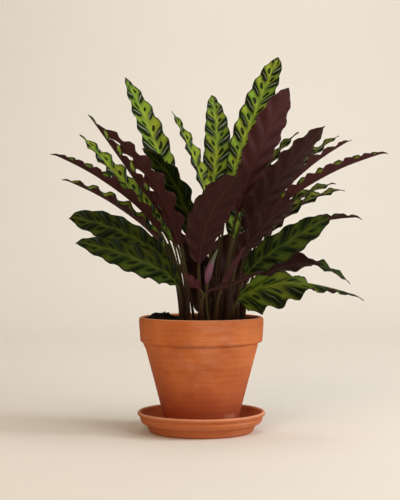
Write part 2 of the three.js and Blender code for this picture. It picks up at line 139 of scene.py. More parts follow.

# Each leaf: the spot where its stalk leaves the soil, then the neck, belly and tip of its midrib, in
# millimetres. face is the way its green side looks, width its greatest breadth, fold the angle its
# halves rise by, waves how many run along an edge, and start the quarter wave each edge begins with.
# shape gives the powers of its outline, twist the shares of its length between which it turns about
# its midrib and the angle, and ripple the height of its waves against the usual one. dark, olive and
# mauve say how far, up to 1, its colour takes painted shade on both faces, olive above and mauve
# below. Without dark, its height and chance give the painted shade.
LEAVES = [
    Leaf("leaf_left_tall", (-8, 10), (-37, 24, 288), (-66, 66, 380), (-100, 92, 452),
         face=(0.35, -0.9, 0.25), width=36, fold=0.15, waves=7, start=(0, 1), shape=(0.55, 0.7),
         twist=(0, 1, 0.2), ripple=0.6),
    Leaf("leaf_left_shadow", (-2, 2), (-8, 0, 236), (-40, 6, 320), (-74, 12, 354),
         face=(-0.5, -0.75, -0.45), width=40, fold=0.2, waves=5, start=(1, 3), shape=(0.5, 0.8),
         ripple=0.8, dark=1.0),
    Leaf("leaf_left_maroon", (-14, -14), (-26, -20, 230), (-70, -45, 325), (-120, -55, 375),
         face=(0.72, 0.5, 0.45), width=38, fold=0.2, waves=7, start=(0, 2), shape=(0.42, 0.8)),
    Leaf("leaf_left_narrow", (-17, 2), (-33, 4, 238), (-91, 6, 325), (-141, 6, 395),
         face=(0.8, -0.1, 0.55), width=30, fold=0.6, waves=7, start=(1, 2), olive=0.3),
    Leaf("leaf_left_green", (-20, 12), (-46, 20, 248), (-111, 50, 325), (-157, 60, 375),
         face=(0.55, -0.6, 0.6), width=34, fold=0.25, waves=7, start=(3, 1)),
    Leaf("leaf_left_far", (-24, -5), (-51, -18, 248), (-123, -35, 313), (-183, -35, 344),
         face=(0.4, -0.05, 0.9), width=24, fold=0.95, waves=7, start=(0, 2), dark=0.5),
    Leaf("leaf_left_far_low", (-25, 4), (-46, 3, 226), (-110, 22, 283), (-176, 25, 316),
         face=(0.3, -0.2, 0.9), width=27, fold=0.75, waves=7, start=(2, 1)),
    Leaf("leaf_left_low_back", (-24, -16), (-38, -20, 206), (-101, -35, 250), (-162, -25, 267),
         face=(-0.1, -0.95, -0.15), width=34, fold=0.15, waves=6, start=(0, 3), shape=(0.75, 0.6)),
    Leaf("leaf_left_low_front", (-24, -24), (-29, -38, 183), (-91, -70, 221), (-149, -75, 237),
         face=(-0.1, -0.95, -0.15), width=36, fold=0.15, waves=6, start=(1, 0), shape=(0.5, 0.7)),
    Leaf("leaf_centre_narrow", (2, 17), (8, 20, 282), (-15, 55, 356), (-38, 65, 405),
         face=(0.75, -0.5, 0.3), width=30, fold=0.3, waves=6, start=(2, 0), ripple=0.8),
    Leaf("leaf_centre_green", (8, 26), (14, 45, 289), (21, 92, 376), (14, 150, 436),
         face=(0.05, -0.9, 0.4), width=34, fold=0.15, waves=7, start=(0, 2), shape=(0.5, 0.7),
         ripple=0.6),
    Leaf("leaf_right_tall", (18, 20), (39, 35, 314), (74, 80, 414), (103, 110, 481),
         face=(-0.3, -0.9, 0.2), width=38, fold=0.15, waves=8, start=(1, 3), shape=(0.5, 0.5),
         ripple=0.5),
    Leaf("leaf_centre_low", (14, 33), (30, 55, 285), (44, 90, 340), (46, 120, 378),
         face=(0, -0.8, 0.5), width=22, fold=0.2, waves=4, start=(0, 1), dark=0.5),
    Leaf("leaf_right_maroon", (22, 3), (44, -10, 269), (80, -18, 367), (107, -20, 425),
         face=(-0.3, 0.9, 0.2), width=41, fold=0.15, waves=7, start=(3, 1), shape=(0.8, 0.6),
         ripple=0.6),
    Leaf("leaf_front_broad", (0, -32), (-3, -45, 208), (10, -85, 266), (41, -120, 312),
         face=(-0.25, 0.85, 0.45), width=49, fold=0.1, waves=6, start=(0, 2), shape=(0.65, 0.5),
         ripple=0.4),
    Leaf("leaf_right_brown", (32, -6), (54, -18, 248), (108, -36, 329), (150, -38, 377),
         face=(-0.5, 0.8, 0.3), width=42, fold=0.2, waves=7, start=(2, 0), shape=(0.5, 0.7), ripple=0.7,
         dark=1.0),
    Leaf("leaf_right_edge", (27, 12), (50, 14, 257), (90, 32, 341), (124, 36, 376),
         face=(-0.6, -0.45, 0.65), width=30, fold=0.2, waves=6, start=(1, 3), olive=0.8),
    Leaf("leaf_right_upper", (34, 14), (59, 19, 253), (126, 43, 334), (177, 50, 373),
         face=(-0.6, -0.4, 0.7), width=34, fold=0.25, waves=7, start=(0, 1), olive=0.8),
    Leaf("leaf_right_slim", (39, 4), (70, 2, 257), (136, 8, 330), (189, 15, 365),
         face=(-0.5, -0.02, 0.85), width=23, fold=0.95, waves=7, start=(3, 0), olive=0.8),
    Leaf("leaf_right_far", (42, -12), (81, -35, 265), (154, -60, 318), (223, -60, 344),
         face=(-0.42, -0.02, 0.9), width=24, fold=0.95, waves=7, start=(0, 2), olive=0.6),
    Leaf("leaf_right_wave_upper", (38, 22), (77, 25, 244), (133, 50, 296), (173, 50, 312),
         face=(-0.4, -0.4, 0.8), width=28, fold=0.25, waves=5, start=(1, 2), olive=1.0),
    Leaf("leaf_right_wave_lower", (46, 6), (78, 0, 238), (129, 0, 285), (179, 5, 302),
         face=(-0.4, -0.35, 0.85), width=30, fold=0.25, waves=5, start=(0, 3), olive=1.0),
    Leaf("leaf_right_inner", (32, -18), (45, -34, 213), (78, -52, 258), (113, -55, 287),
         face=(-0.4, 0.8, 0.45), width=34, fold=0.2, waves=5, start=(2, 0), shape=(0.6, 0.6), dark=1.0),
    Leaf("leaf_right_green", (42, -24), (54, -45, 196), (107, -71, 239), (153, -75, 266),
         face=(0.1, -0.95, -0.15), width=36, fold=0.15, waves=5, start=(0, 1), shape=(0.5, 0.6)),
    Leaf("leaf_right_behind", (49, -4), (79, -5, 219), (146, 5, 260), (201, 10, 267),
         face=(-0.05, 0.0, 1), width=20, fold=0.95, waves=6, start=(3, 2)),
    Leaf("leaf_right_fold", (48, -15), (70, -24, 190), (126, -30, 210), (181, -35, 187),
         face=(0, 0.8, 0.5), width=26, fold=0.3, waves=5, start=(0, 1), twist=(0.45, 0.7, 1.5),
         olive=0.4),
    Leaf("leaf_right_low", (35, -36), (44, -62, 166), (108, -96, 188), (188, -108, 171),
         face=(0.1, -0.75, 0.62), width=58, fold=-0.4, waves=6, start=(1, 3), shape=(0.45, 1.4),
         twist=(0.4, 0.7, -0.85), ripple=0.8, dark=0.8),
    Leaf("leaf_young_right", (16, -36), (24, -52, 178), (38, -60, 205), (53, -66, 232),
         face=(-0.3, 0.8, 0.5), width=9, fold=0.3, waves=3, start=(0, 2), mauve=0.3),
    Leaf("leaf_young_left", (-12, -34), (-1, -52, 178), (-11, -56, 187), (-21, -60, 199),
         face=(0.3, 0.8, 0.5), width=15, fold=0.3, waves=3, start=(1, 3), mauve=0.45),
    Leaf("leaf_low_band", (3, -47), (6, -68, 175), (36, -78, 185), (71, -86, 202),
         face=(0, 0.8, 0.6), width=9, fold=0.4, waves=3, start=(0, 1), shape=(0.5, 0.6)),
    Leaf("leaf_back_dark", (9, 50), (6, 66, 146), (-6, 98, 198), (-19, 116, 244),
         face=(0, 0.9, 0.4), width=44, fold=0.15, waves=3, start=(2, 0), shape=(0.42, 0.5)),
    Leaf("leaf_back_left", (-16, 26), (-36, 50, 235), (-54, 110, 272), (-62, 172, 240),
         face=(0.1, -0.5, 0.8), width=36, fold=0.2, waves=4, start=(0, 2)),
    Leaf("leaf_back_low", (-20, 24), (-36, 46, 200), (-76, 98, 230), (-112, 140, 205),
         face=(0, -0.5, 0.8), width=34, fold=0.2, waves=4, start=(3, 1)),
    Leaf("leaf_back_middle", (0, 38), (-5, 62, 245), (-8, 125, 285), (-12, 198, 262),
         face=(0, -0.4, 0.9), width=38, fold=0.2, waves=4, start=(1, 0)),
    Leaf("leaf_back_upright", (22, 46), (26, 58, 146), (34, 84, 200), (40, 98, 248),
         face=(0, 0.9, 0.4), width=60, fold=0.15, waves=3, start=(0, 2), shape=(0.42, 0.5)),
    Leaf("leaf_back_right", (26, 34), (42, 58, 240), (60, 118, 278), (74, 180, 250),
         face=(-0.1, -0.4, 0.9), width=36, fold=0.2, waves=4, start=(2, 3)),
    Leaf("leaf_back_low_right", (34, 38), (62, 52, 190), (88, 102, 222), (112, 152, 208),
         face=(-0.1, -0.5, 0.8), width=34, fold=0.2, waves=4, start=(0, 1)),
]

# The newest leaf is still a rolled spear.
SPEAR = Leaf("leaf_rolled", (9, -40), (7, -56, 188), (10, -64, 203), (19, -77, 227),
             face=(0, -1, 0), width=0, fold=0, waves=0, start=())
SPEAR_RADII = (2.0, 4.3, 5.0, 4.3, 2.8, 2.2, 0.8)
SPEAR_TURN = math.radians(440)
SPEAR_STALK_REACH = 12
SPEAR_STALK_RINGS = 30
SPEAR_STALK_COLUMNS = 20
SPEAR_RINGS = 44
SPEAR_COLUMNS = 40
ROLL_BELOW_NECK = 2
ROLL_START = 0.72
ROLL_GROWTH = 0.28
ROLL_THICKNESS = 0.1


# Mesh making

def grid_faces(shells, rings, columns, wrap):
    """Corner numbers of the quads that join each ring of points to the next, for equal shells one after
    another: round each ring, and from the last ring to the first where wrap is set."""
    spans = rings if wrap else rings - 1
    ring = np.arange(spans)[:, None]
    column = np.arange(columns)[None, :]
    after, beside = (ring + 1) % rings, (column + 1) % columns
    quads = np.stack([ring * columns + column, ring * columns + beside,
                      after * columns + beside, after * columns + column], axis=-1).reshape(1, -1, 4)
    return quads + (np.arange(shells) * rings * columns)[:, None, None]


def joined_skins(grids):
    """Points, corner numbers, corner counts and material numbers of closed skins. Each grid is (points,
    face_slots, wrap): points as shells x rings x columns, joined round each ring and ring to ring by
    quads. The end rings of a shell are filled, or joined to each other where wrap is set. face_slots
    gives the material of each ring's quads, and a fill takes that of the ring it closes."""
    points, corners, sizes, slots, count = [], [], [], [], 0
    for grid, face_slots, wrap in grids:
        shells, rings, columns, _ = grid.shape
        quads = grid_faces(shells, rings, columns, wrap) + count
        face_slots = np.broadcast_to(face_slots, (quads.shape[1] // columns, columns))
        corners.append(quads.ravel())
        sizes.append(np.full(shells * quads.shape[1], 4))
        slots.append(np.tile(face_slots.ravel(), shells))
        if not wrap:
            first = (np.arange(shells) * rings * columns)[:, None] + count
            ring = np.arange(columns)
            corners.append(np.stack([first + ring[::-1], first + (rings - 1) * columns + ring]).ravel())
            sizes.append(np.full(2 * shells, columns))
            slots.append(np.repeat([face_slots[0, 0], face_slots[-1, 0]], shells))
        points.append(grid.reshape(-1, 3))
        count += shells * rings * columns
    return tuple(np.concatenate(parts) for parts in (points, corners, sizes, slots))


def put_mesh(name, grids, materials, node, sharp=50.0):
    """A piece made of the skins of grids in millimetres, in place of its node. It is shaded smooth, but
    not across edges sharper than an angle in degrees."""
    points, corners, sizes, slots = joined_skins(grids)
    mesh = bpy.data.meshes.new(name)
    mesh.vertices.add(len(points))
    mesh.vertices.foreach_set("co", (points * MM).astype(np.float32).ravel())
    mesh.loops.add(len(corners))
    mesh.loops.foreach_set("vertex_index", corners.astype(np.int32))
    mesh.polygons.add(len(sizes))
    mesh.polygons.foreach_set("loop_start", (np.cumsum(sizes) - sizes).astype(np.int32))
    for material in materials:
        mesh.materials.append(material)
    mesh.polygons.foreach_set("material_index", slots.astype(np.int32))
    mesh.update(calc_edges=True)
    mesh.validate()
    mesh.shade_smooth()
    mesh.set_sharp_from_angle(angle=math.radians(sharp))
    piece = bpy.data.objects.new(name, mesh)
    bpy.context.scene.collection.objects.link(piece)
    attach(piece, "root")
    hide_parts(node)
    return piece


def add_attribute(piece, name, values):
    """Stores one vector for each vertex, for the materials to read by its name."""
    attribute = piece.data.attributes.new(name, "FLOAT_VECTOR", "POINT")
    attribute.data.foreach_set("vector", values.astype(np.float32).ravel())


def smoothstep(low, high, value):
    """0 below low, 1 above high, and 3x^2 - 2x^3 between them."""
    x = np.clip((value - low) / (high - low), 0, 1)
    return x * x * (3 - 2 * x)


def bell(value, half_width):
    """A bell of height 1: e to the minus square of value over half_width."""
    return np.exp(-(value / half_width) ** 2)


def lattice_noise(x, y, seed):
    """Smooth noise from -1 to 1: random heights at whole numbers of x and y, blended between them by
    3t^2 - 2t^3 along each axis."""
    table = np.random.default_rng(seed).uniform(-1, 1, (256, 256))
    column, row = np.floor(x).astype(int), np.floor(y).astype(int)
    s, t = smoothstep(0, 1, x - column), smoothstep(0, 1, y - row)
    here, beside, before, behind = column % 256, (column + 1) % 256, row % 256, (row + 1) % 256
    near = table[before, here] * (1 - s) + table[before, beside] * s
    far = table[behind, here] * (1 - s) + table[behind, beside] * s
    return near * (1 - t) + far * t


# Leaves

def spine_of(leaf):
    """A line through root, neck, belly and tip, as a function of the distance from the root: cubic
    spans whose slopes at the inner points are weighted means of the chords beside them. Below the root
    it runs straight on into the soil. Returns the function and the distances of neck and tip."""
    points = np.array([(*leaf.root, SOIL_LEVEL), leaf.neck, leaf.belly, leaf.tip], float)
    chords = np.diff(points, axis=0)
    spans = np.linalg.norm(chords, axis=1)
    knots = np.concatenate([[0], np.cumsum(spans)])
    slopes = chords / spans[:, None]
    tangents = np.zeros((4, 3))
    tangents[1] = (slopes[0] * spans[1] + slopes[1] * spans[0]) / (spans[0] + spans[1])
    tangents[2] = (slopes[1] * spans[2] + slopes[2] * spans[1]) / (spans[1] + spans[2])
    tangents[0] = 1.5 * slopes[0] - 0.5 * tangents[1]
    tangents[3] = 1.5 * slopes[2] - 0.5 * tangents[2]

    def place(t):
        """The points at distances t."""
        i = np.clip(np.searchsorted(knots, t, side="right") - 1, 0, 2)
        span = spans[i][:, None]
        s = np.maximum(t - knots[i], 0)[:, None] / span
        on = ((1 + 2 * s) * (1 - s) ** 2 * points[i] + span * s * (1 - s) ** 2 * tangents[i]
              + s * s * (3 - 2 * s) * points[i + 1] + span * s * s * (s - 1) * tangents[i + 1])
        return on + np.minimum(t, 0)[:, None] * tangents[0]

    return place, knots[1], knots[3]


def sweep(place, t, face, turn, out, rise):
    """Points of a section carried along a line: at each distance t, out is measured across and rise
    along the face, which is made square to the line and turned about it."""
    step = 0.05
    along = place(t + step) - place(t - step)
    along /= np.linalg.norm(along, axis=1)[:, None]
    face = np.array(face, float)
    up = face - (along @ face)[:, None] * along
    up /= np.linalg.norm(up, axis=1)[:, None]
    side = np.cross(along, up)
    cos, sin = np.cos(turn)[:, None], np.sin(turn)[:, None]
    up, side = up * cos + side * sin, side * cos - up * sin
    return place(t)[:, None, :] + out[..., None] * side[:, None, :] + rise[..., None] * up[:, None, :]


def stalk_radius(t, neck_at):
    """Radius of a stalk at a distance from its root: it thins from the root upwards with the square of
    what is left, and swells in a bell just below the neck."""
    left = 1 - np.clip(t / (neck_at - JOINT_LENGTH), 0, 1)
    swelling = bell(t - neck_at + JOINT_WIDEST * JOINT_LENGTH, JOINT_SPREAD)
    thinned = STALK_RADIUS + (BASE_RADIUS - STALK_RADIUS) * left ** 2
    return thinned + (JOINT_RADIUS - STALK_RADIUS) * swelling


def outline(u, shape):
    """Half width over its greatest at a share u of the blade: u^a (1 - u)^b over its own peak."""
    a, b = shape
    widest = a / (a + b)
    return (u / widest) ** a * ((1 - u) / (1 - widest)) ** b


def half_width(leaf, u):
    """Half width of a blade: its outline, drawn to a point over the last twentieth."""
    drawn = 1 - POINT_SHARE * smoothstep(POINT_FROM, 1.0, u)
    return np.maximum(leaf.width / 2 * outline(u, leaf.shape) * drawn, TIP_HALF_WIDTH)


def blade_section(leaf, s, u, length, x):
    """Across and up offsets of the blade's two faces, for shares u along it and x across it from -1 to
    1, and the wave count, distance across and vein distance that the markings follow. The halves rise
    from the midrib by the fold. The waves grow with a power of x and lag along the slanting side veins,
    and near the margin a quicker frill is added. A channel marks the midrib above, and a round rib
    stands out below."""
    share = outline(u, leaf.shape)
    half = half_width(leaf, u)
    wave = leaf.waves * s + np.where(x < 0, leaf.start[0], leaf.start[1]) / 4
    count = wave + leaf.waves * VEIN_SLANT * half * (1 - np.abs(x)) / length
    away = np.sqrt(x * x + FOLD_ROUNDING) - math.sqrt(FOLD_ROUNDING)
    out = half * x * (1 + SCALLOP_SHARE * np.cos(2 * math.pi * wave)) * math.cos(leaf.fold)
    swing = leaf.width / 2 * WAVE_SHARE * leaf.ripple * share ** WAVE_POWER
    uneven = 0.3 * np.sin(9 * s)
    frill = FRILL_SHARE * np.abs(x) ** FRILL_GROWTH * np.sin(2 * math.pi * (FRILL_PACE * wave + uneven))
    waves = np.abs(x) ** WAVE_GROWTH * np.sin(2 * math.pi * count) + frill
    rise = half * away * math.sin(leaf.fold) + swing * waves
    thick = BLADE_HALF_THICKNESS - (BLADE_HALF_THICKNESS - EDGE_HALF_THICKNESS) * x * x
    across = half * x
    channel = CHANNEL_DEPTH * bell(across, CHANNEL_HALF_WIDTH) * (1 - u)
    rib = RIB_DEPTH * (1 - RIB_FADE * u) * np.sqrt(np.maximum(1 - (across / RIB_HALF_WIDTH) ** 2, 0))
    vein = u * length - VEIN_SLANT * half * np.abs(x)
    return out, rise + thick - channel, rise - thick - rib, count, across, vein


def both_faces(upper, lower):
    """A closed section: the upper face from one edge to the other, then the lower face back."""
    return np.concatenate([upper, lower[:, ::-1]], axis=1)


def ring_shares(leaf, neck_at, length):
    """The distances of a leaf's rings from its root, and the shares s and u of each along the blade, 0
    on the stalk. s runs evenly with the waves, and u is the share of the length: near the neck the
    waves are stretched."""
    stalk_t = np.linspace(-STALK_DEPTH, neck_at, STALK_RINGS, endpoint=False)
    blade_s = np.linspace(0, 1, leaf.waves * RINGS_A_WAVE + 1)
    blade_u = blade_s + NECK_STRETCH * blade_s * (1 - blade_s)
    t = np.concatenate([stalk_t, neck_at + blade_u * length])
    s = np.concatenate([np.zeros(STALK_RINGS), blade_s])[:, None]
    u = np.concatenate([np.zeros(STALK_RINGS), blade_u])[:, None]
    return t, s, u


def stalk_section(leaf, t, neck_at, even):
    """Across and up offsets of a stalk's upper half: a half circle, spread out sideways at the foot by
    its sheath."""
    radius = stalk_radius(t, neck_at)[:, None]
    sheath = smoothstep(SHEATH_FROM, SHEATH_FULL, leaf.root[0]) * smoothstep(SHEATH_HEIGHT, 0, t)[:, None]
    angle = math.pi / 2 * (1 - even)[None, :]
    return radius * np.cos(angle) * (1 + SHEATH_SPREAD * sheath), radius * np.sin(angle) + EDGE_GAP


def tip_drop(leaf, u):
    """How far a blade hangs down at shares u of its length: with the square of what is past
    TIP_DROP_FROM, and less the steeper it stands."""
    level = 1 - abs(leaf.tip[2] - leaf.belly[2]) / np.linalg.norm(np.subtract(leaf.tip, leaf.belly))
    past = np.maximum((u - TIP_DROP_FROM) / (1 - TIP_DROP_FROM), 0)
    return TIP_DROP * level * past ** 2


def leaf_skin(leaf):
    """Points of a leaf and its stalk, as rings of a single closed skin, the slots of its faces, and what
    its markings follow. The stalk's round section turns into the blade's thin waved one over the first
    millimetres of the blade."""
    place, neck_at, tip_at = spine_of(leaf)
    length = tip_at - neck_at
    t, s, u = ring_shares(leaf, neck_at, length)
    even = np.linspace(-1, 1, BLADE_COLUMNS)
    x = np.broadcast_to(even * (0.5 + 0.5 * even ** 2), (len(t), BLADE_COLUMNS))
    out, top, bottom, count, across, vein = blade_section(leaf, s, u, length, x)
    round_out, round_up = stalk_section(leaf, t, neck_at, even)
    flat = smoothstep(neck_at + FLAT_FROM, neck_at + FLAT_FULL, t)[:, None]
    out = out * flat + round_out * (1 - flat)
    top = top * flat + round_up * (1 - flat)
    bottom = bottom * flat - round_up * (1 - flat)
    turn = leaf.twist[2] * smoothstep(leaf.twist[0], leaf.twist[1], u[:, 0])
    points = sweep(place, t, leaf.face, turn, both_faces(out, out), both_faces(top, bottom))
    points[..., 2] -= tip_drop(leaf, u)

    column = np.arange(2 * BLADE_COLUMNS)[None, :]
    on_blade = (t[:-1] > neck_at - 0.5)[:, None]
    face_slots = np.where(on_blade, np.where(column < BLADE_COLUMNS - 1, UPPER, UNDER), STALK)
    along = np.broadcast_to(np.where(t[:, None] < neck_at, t[:, None] / neck_at - 1, u), x.shape)
    half = np.broadcast_to(half_width(leaf, u), x.shape)
    blade_place = np.stack([both_faces(v, v) for v in (count, x, along)], axis=-1)
    blade_size = np.stack([both_faces(v, v) for v in (across, vein, half)], axis=-1) * MM
    return points, face_slots, blade_place, blade_size


def leaf_piece(number, leaf, materials):
    """One leaf with its stalk, and its tint: painted shade on both faces of the blade, olive above and
    mauve below.
    """
    points, face_slots, blade_place, blade_size = leaf_skin(leaf)
    piece = put_mesh(leaf.name + "_fine", [(points[None], face_slots, False)], materials, leaf.name)
    # Painted shade: from the belly's height and chance, unless the leaf gives dark.
    low = smoothstep(SHADE_HEIGHTS[1], SHADE_HEIGHTS[0], leaf.belly[2])
    shade = max(RANDOM_SHADE * np.random.default_rng(SEED + number).random(), low)
    tint = (shade if leaf.dark is None else leaf.dark, leaf.olive, leaf.mauve)
    add_attribute(piece, "blade_place", blade_place)
    add_attribute(piece, "blade_size", blade_size)
    add_attribute(piece, "blade_painted_shade_and_tint", np.tile(tint, (points.shape[0] * points.shape[1], 1)))
    return piece


def rolled_blade(place, neck_at, tip_at):
    """Points of a thin blade rolled up, and what its markings follow. Its section is a spiral whose
    radius grows by two fifths over a turn and a quarter, out along its outer face and back along the
    inner one."""
    share = np.linspace(0, 1, SPEAR_RINGS)
    t = neck_at - ROLL_BELOW_NECK + share * (tip_at - neck_at + ROLL_BELOW_NECK)
    full = np.interp(share, np.linspace(0, 1, len(SPEAR_RADII)), SPEAR_RADII)[:, None]
    lap = np.linspace(0, 1, SPEAR_COLUMNS)[None, :]
    inner = both_faces(np.zeros_like(lap), np.ones_like(lap))
    lap = both_faces(lap, lap)
    wobble = 0.12 * np.sin(9 * share + 2)[:, None]
    radius = full * (ROLL_START + ROLL_GROWTH * lap - ROLL_THICKNESS * inner) + wobble * lap
    angle = -lap * SPEAR_TURN + 2.2 + 0.5 * share[:, None]
    still = np.zeros(SPEAR_RINGS)
    points = sweep(place, t, SPEAR.face, still, radius * np.cos(angle), radius * np.sin(angle))
    along = np.broadcast_to(share[:, None], (SPEAR_RINGS, 2 * SPEAR_COLUMNS))
    return points, np.stack([along, np.broadcast_to(lap, along.shape), along], axis=-1)


def spear_piece(materials):
    """The rolled leaf: a round stalk, and round its top the rolled blade."""
    place, neck_at, tip_at = spine_of(SPEAR)
    t = np.linspace(-STALK_DEPTH, neck_at + SPEAR_STALK_REACH, SPEAR_STALK_RINGS)
    angle = np.linspace(math.pi, -math.pi, SPEAR_STALK_COLUMNS, endpoint=False)[None, :]
    radius = stalk_radius(t, neck_at)[:, None]
    still = np.zeros(SPEAR_STALK_RINGS)
    stalk = sweep(place, t, SPEAR.face, still, radius * np.cos(angle), radius * np.sin(angle))
    roll, marks = rolled_blade(place, neck_at, tip_at)
    grids = [(stalk[None], 1, False), (roll[None], 0, False)]
    piece = put_mesh("leaf_rolled_fine", grids, materials, "leaf_rolled")
    on_stalk = np.zeros((stalk.shape[0] * stalk.shape[1], 3))
    add_attribute(piece, "blade_place", np.concatenate([on_stalk, marks.reshape(-1, 3)]))
    return piece


# Clay

def rounded(corners):
    """A profile through corner points (radius, height, rounding, step), each corner replaced by an arc
    that starts and ends its rounding away from it, and the step wanted at each of its points."""
    places = np.array([corner[:2] for corner in corners], float)
    path, steps = [], []
    for i, (_, _, rounding, step) in enumerate(corners):
        here = places[i]
        before = places[i - 1] - here
        after = places[(i + 1) % len(places)] - here
        start = here + before / np.linalg.norm(before) * rounding
        end = here + after / np.linalg.norm(after) * rounding
        q = np.linspace(0, 1, 7 if rounding else 1)[:, None]
        path.append((1 - q) ** 2 * start + 2 * q * (1 - q) * here + q * q * end)
        steps.append(np.full(len(q), step))
    return np.concatenate(path), np.concatenate(steps)


def resampled(path, steps, closed):
    """The same path with points spread so that each stretch has a point about every step."""
    if closed:
        path, steps = np.concatenate([path, path[:1]]), np.append(steps, steps[-1])
    spans = np.linalg.norm(np.diff(path, axis=0), axis=1)
    paces = np.concatenate([[0], np.cumsum(spans / steps[:-1])])
    at = np.linspace(0, paces[-1], int(paces[-1]) + 1)[:-1 if closed else None]
    return np.stack([np.interp(at, paces, path[:, 0]), np.interp(at, paces, path[:, 1])], axis=-1)


def turning(profile):
    """The columns of radius and height of a profile, the row of angles round the axis, from the back by
    way of the left, and which points come before the highest, on the outside."""
    angle = np.linspace(-math.pi, math.pi, CLAY_COLUMNS, endpoint=False)[None, :]
    outside = (np.arange(len(profile)) < np.argmax(profile[:, 1]))[:, None]
    return profile[:, 0, None], profile[:, 1, None], angle, outside


def lined(r, z, outside, lines):
    """The radius with turned lines cut in from outside, each a bell of height over its half breadth."""
    for height, depth, breadth in lines:
        r = r - outside * depth * bell(z - height, breadth)
    return r


def on_axis(r, z, angle):
    """Points at radius r, height z and an angle measured from the front (-Y) towards +X."""
    return np.stack([r * np.sin(angle), -r * np.cos(angle), z * np.ones_like(angle)], axis=-1)


# Corners of the turned profiles: radius, height, rounding and step
POT_PROFILE = (
    (9, 7, 0.6, 3), (42.8, 7, 0, 3), (44.3, 8.5, 1.2, 1.2), (71, 110.5, 0.7, 1.1), (74.7, 112, 0.6, 0.5),
    (75.9, 113.8, 0.9, 0.5), (77.5, 138, 1.5, 0.6), (76.7, 141.6, 1.3, 0.5), (74.5, 143, 1.0, 0.5),
    (72.1, 141.8, 1.2, 0.6), (70.5, 138, 1.5, 1), (38.5, 15, 3, 5), (9, 15, 0.6, 3))
SAUCER_PROFILE = (
    (0.4, 0, 0, 6), (62, 0, 0, 6), (64, 1.2, 0.8, 0.8), (68.5, 9.5, 0.8, 0.8), (74, 12, 1.2, 0.6),
    (76.4, 16.5, 0.8, 0.6), (75.9, 18.6, 0.6, 0.6), (79.8, 22.5, 1.2, 0.6), (79.2, 25.2, 1.0, 0.5),
    (77.4, 26, 0.8, 0.5), (75.4, 24.8, 1.0, 0.6), (73.5, 20, 2, 0.8), (67, 9.2, 2, 1.5),
    (64, 7, 1, 3), (0.4, 7, 0, 6))


def pot_piece(material):
    """The pot: its rounded profile turned about the axis, with fine lines cut in the rim and one under
    it, and a slow wobble of the hand-turned wall. On the left a smear of clay fills the step under the
    rim out to a cone, whose radius lessens evenly below the smear's top, with a ragged surface."""
    profile = resampled(*rounded(POT_PROFILE), closed=True)
    r, z, angle, outside = turning(profile)
    r = lined(r, z, outside, RIM_LINES)
    ripple = 0.10 * np.sin(z * 1.9) + 0.07 * np.sin(z * 0.83 + 1)
    sway = 0.22 * np.sin(2 * angle + z / 50 + 1) + 0.12 * np.sin(3 * angle - z / 31)
    radius = r + outside * smoothstep(9, 14, z) * (sway + ripple * smoothstep(112, 108, z))
    smeared = smoothstep(SMEAR_FROM - SMEAR_FADE, SMEAR_FROM + SMEAR_FADE, angle)
    smeared = smeared * smoothstep(SMEAR_TO + SMEAR_FADE, SMEAR_TO - SMEAR_FADE, angle)
    ragged = 0.5 * lattice_noise(angle * 9, z / 7, SEED)
    cone = SMEAR_RADIUS - SMEAR_SLOPE * (SMEAR_TOP - z) + ragged
    under_rim = outside * (z > SMEAR_HEIGHTS[0]) * (z < SMEAR_HEIGHTS[1])
    radius = radius + under_rim * smeared * np.maximum(cone - radius, 0)
    points = on_axis(radius, z, angle)
    return put_mesh("pot_turned", [(points[None], 0, True)], [material], "pot",
                    CLAY_SHARP_DEGREES)


def saucer_piece(material):
    """The saucer: its rounded profile turned about the axis, with a slow wobble of the rim and two fine
    lines outside."""
    profile = resampled(*rounded(SAUCER_PROFILE), closed=False)
    r, z, angle, outside = turning(profile)
    r = lined(r, z, outside, SAUCER_LINES)
    sway = 0.25 * np.sin(2 * angle + 2) + 0.12 * np.sin(5 * angle)
    points = on_axis(r + sway * smoothstep(60, 75, r) * smoothstep(1, 9, z), z, angle)
    return put_mesh("saucer_turned", [(points[None], 0, False)], [material], "saucer",
                    CLAY_SHARP_DEGREES)


# Soil

def inner_radius(z):
    """Radius of the pot's inside at a height: it widens evenly from the floor to the rim."""
    share = np.clip((z - POT_FLOOR) / (INNER_TOP - POT_FLOOR), 0, 1)
    return INNER_FLOOR_RADIUS + (INNER_TOP_RADIUS - INNER_FLOOR_RADIUS) * share


def clods(x, y):
    """Height of the soil over its level: two crossing waves and the heap, a bell at the left."""
    near_heap = ((x - HEAP[0]) ** 2 + (y - HEAP[1]) ** 2) / HEAP_SPREAD ** 2
    waves = 1.3 * np.sin(0.21 * x + 1) * np.cos(0.17 * y) + 0.9 * np.sin(0.37 * x - 0.31 * y)
    return waves + HEAP_HEIGHT * np.exp(-near_heap / 2)


def soil_top(x, y):
    """Height of the soil, with lumps of three sizes over the clods."""
    lumps = 0
    for number, (height, breadth) in enumerate(LUMPS):
        lumps = lumps + height * lattice_noise(x / breadth, y / breadth, SEED + 1 + number)
    return SOIL_LEVEL + clods(x, y) + lumps * LUMP_SHARE


